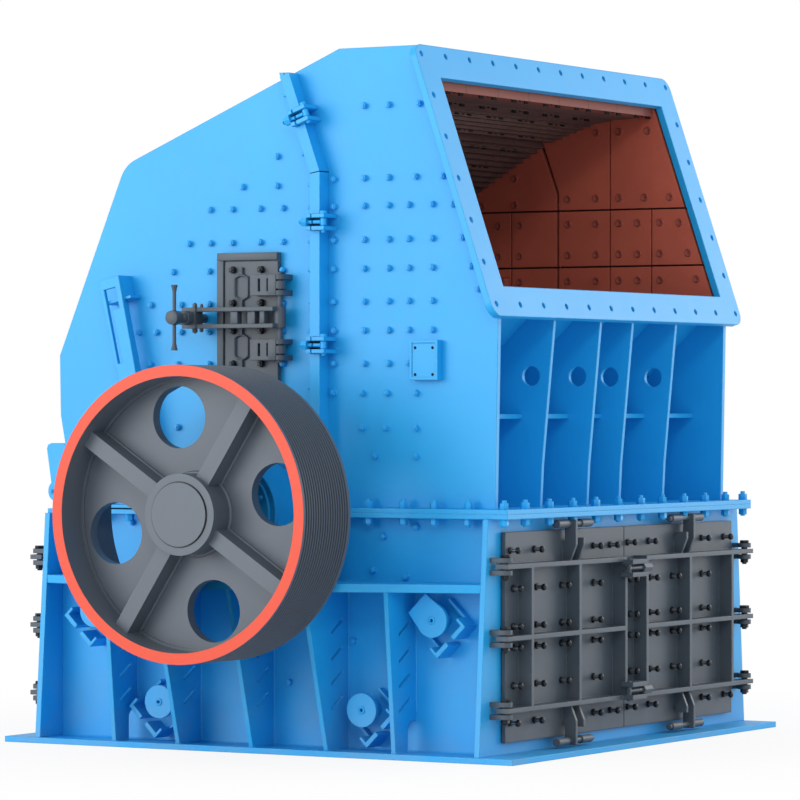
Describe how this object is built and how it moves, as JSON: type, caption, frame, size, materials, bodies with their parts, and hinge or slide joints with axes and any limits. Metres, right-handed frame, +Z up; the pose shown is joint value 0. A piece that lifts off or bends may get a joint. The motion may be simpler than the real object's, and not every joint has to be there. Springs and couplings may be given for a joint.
{
  "type": "horizontal shaft impact crusher",
  "caption": "Horizontal shaft impact crusher with a flanged slanted feed opening, a tipping rear housing, end doors, a side hatch and a grooved belt sheave.",
  "frame": {"origin": "on the floor, midway between the ends and the sides of the base flange, under the middle of the rotor", "axes": "+X towards the feed end, -Y towards the belt sheave on the drive side, +Z up"},
  "size_m": [2.546, 3.246, 2.99],
  "materials": {
    "blue_paint": "smooth satin paint",
    "grey_paint": "satin paint",
    "sheave_paint": "satin paint with a red rim face",
    "wear_liner": "red-brown primer on cast wear plates",
    "wear_bar": "rough casting",
    "bare_steel": "turned"
  },
  "bodies": {
    "frame": {"base_flange": "blue_paint", "lower_wall_drive": "blue_paint", "lower_wall_far": "blue_paint", "lower_end_feed": "blue_paint", "lower_end_rear": "blue_paint", "bearing_shelves": "blue_paint", "side_ribs": "blue_paint", "lower_split_flange": "blue_paint", "front_split_flange": "blue_paint", "bearing_housings": "blue_paint", "front_wall_drive": "blue_paint", "front_wall_far": "blue_paint", "front_roof": "blue_paint", "feed_flange": "blue_paint", "feed_chute": "blue_paint", "front_gussets": "blue_paint", "gusset_braces": "blue_paint", "front_seam_flanges": "blue_paint", "front_liners": "wear_liner", "front_apron": "wear_liner", "apron_adjusters": "blue_paint", "pivot_ears": "blue_paint", "door_hinge_forks": "grey_paint", "cover_box": "blue_paint"},
    "rear_housing": {"rear_wall_drive": "blue_paint", "rear_wall_far": "blue_paint", "rear_shell": "blue_paint", "rear_flanges": "blue_paint", "rear_liners": "wear_liner", "first_apron": "wear_liner", "second_apron": "wear_liner", "pivot_brackets": "blue_paint", "slotted_arms": "blue_paint", "hatch_hinges": "grey_paint"},
    "hatch": {"hatch_door": "grey_paint"},
    "hatch_clamp": {"hatch_bar": "grey_paint"},
    "clamp_screw": {"hatch_screw": "grey_paint"},
    "feed_door_drive_side": {"feed_door_drive": "grey_paint"},
    "feed_door_far_side": {"feed_door_far": "grey_paint"},
    "rear_door_drive_side": {"rear_door_drive": "grey_paint"},
    "rear_door_far_side": {"rear_door_far": "grey_paint"},
    "rotor": {"shaft": "bare_steel", "rotor_body": "grey_paint", "blow_bars": "wear_bar", "sheave": "sheave_paint"}
  },
  "joints": [
    {"name": "rotor_spin", "type": "hinge", "parent": "frame", "child": "rotor", "pos_m": [0, 0, 1.025], "axis": [0, 1, 0], "continuous": true},
    {"name": "rear_housing_tip", "type": "hinge", "parent": "frame", "child": "rear_housing", "pos_m": [-1.098, 0, 1.1], "axis": [0, -1, 0], "range_deg": [0, 55]},
    {"name": "feed_door_drive_swing", "type": "hinge", "parent": "frame", "child": "feed_door_drive_side", "pos_m": [1.172, -1.128, 0.5], "axis": [0, 0, -1], "range_deg": [0, 110]},
    {"name": "feed_door_far_swing", "type": "hinge", "parent": "frame", "child": "feed_door_far_side", "pos_m": [1.172, 1.128, 0.5], "axis": [0, 0, 1], "range_deg": [0, 110]},
    {"name": "rear_door_drive_swing", "type": "hinge", "parent": "frame", "child": "rear_door_drive_side", "pos_m": [-1.172, -1.128, 0.5], "axis": [0, 0, 1], "range_deg": [0, 110]},
    {"name": "rear_door_far_swing", "type": "hinge", "parent": "frame", "child": "rear_door_far_side", "pos_m": [-1.172, 1.128, 0.5], "axis": [0, 0, -1], "range_deg": [0, 110]},
    {"name": "hatch_swing", "type": "hinge", "parent": "rear_housing", "child": "hatch", "pos_m": [0.0765, -1.132, 1.852], "axis": [0, 0, 1], "range_deg": [0, 70]},
    {"name": "hatch_clamp_swing", "type": "hinge", "parent": "hatch", "child": "hatch_clamp", "pos_m": [0.0765, -1.132, 1.852], "axis": [0, 0, 1], "range_deg": [0, 35]},
    {"name": "clamp_screw_turn", "type": "hinge", "parent": "hatch_clamp", "child": "clamp_screw", "pos_m": [-0.345, -1.2, 1.852], "axis": [0, 1, 0], "continuous": true}
  ]
}
